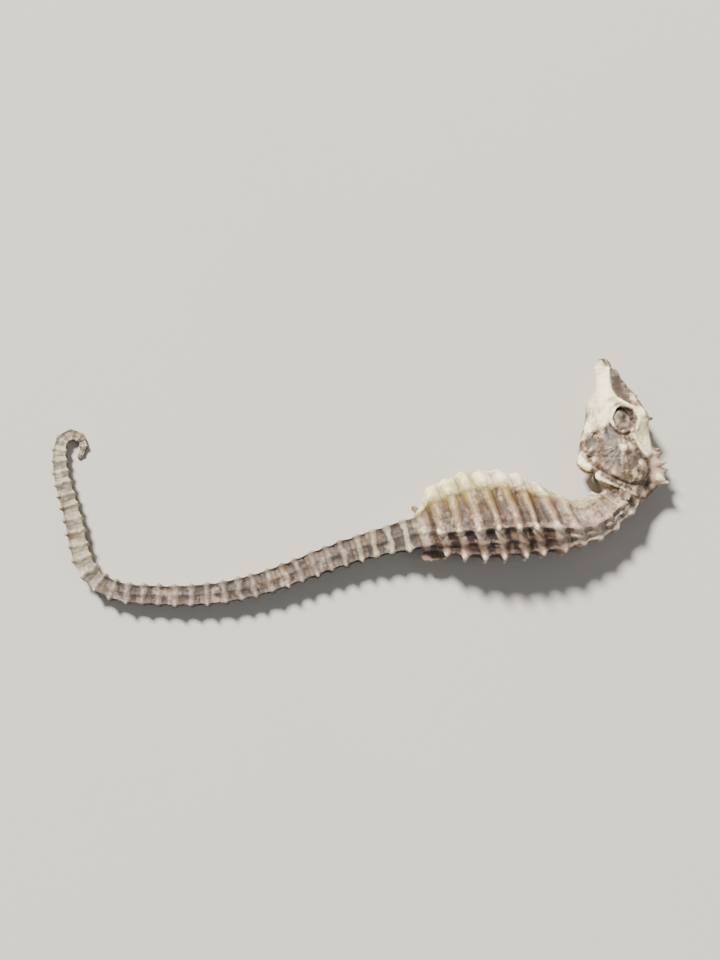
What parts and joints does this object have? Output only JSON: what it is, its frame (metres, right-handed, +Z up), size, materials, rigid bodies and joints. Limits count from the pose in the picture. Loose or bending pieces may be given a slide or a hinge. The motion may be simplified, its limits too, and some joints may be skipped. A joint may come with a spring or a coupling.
{
  "type": "dried seahorse",
  "caption": "Small dried seahorse with a bent-down head, a deep ringed trunk and a long tail that ends in a curl, lying flat on its right side.",
  "frame": {"origin": "centre of the bounding box at floor level", "axes": "+X from the tail towards the head, +Y from the back towards the belly and snout, +Z up through the animal's left side"},
  "size_m": [0.0518, 0.0208, 0.0058],
  "materials": {
    "dried_skin": "dry, thin skin drawn tight over bony rings, pale on the ridges and dark in the pits, with a dull waxy sheen",
    "pale_skin": "dry cream to ochre skin of the belly and head, with a dull waxy sheen",
    "fin_membrane": "shrivelled brown fin membrane over fine rays",
    "dried_eye": "dark, sunken, half-dull dried eye"
  },
  "bodies": {
    "root": {"head": "pale_skin", "coronet": "pale_skin", "snout": "pale_skin", "neck": "dried_skin", "chest": "dried_skin", "belly": "pale_skin", "tail_1": "dried_skin", "tail_2": "dried_skin", "tail_3": "dried_skin", "tail_4": "dried_skin", "tail_5": "dried_skin", "tail_6": "dried_skin", "tail_7": "dried_skin", "tail_8": "dried_skin", "tail_9": "dried_skin", "tail_10": "dried_skin", "tail_11": "dried_skin", "tail_12": "dried_skin", "dorsal_fin": "fin_membrane", "anal_fin": "fin_membrane", "pectoral_fin_left": "fin_membrane", "pectoral_fin_right": "fin_membrane", "eye_left": "dried_eye", "eye_right": "dried_eye"}
  },
  "joints": []
}
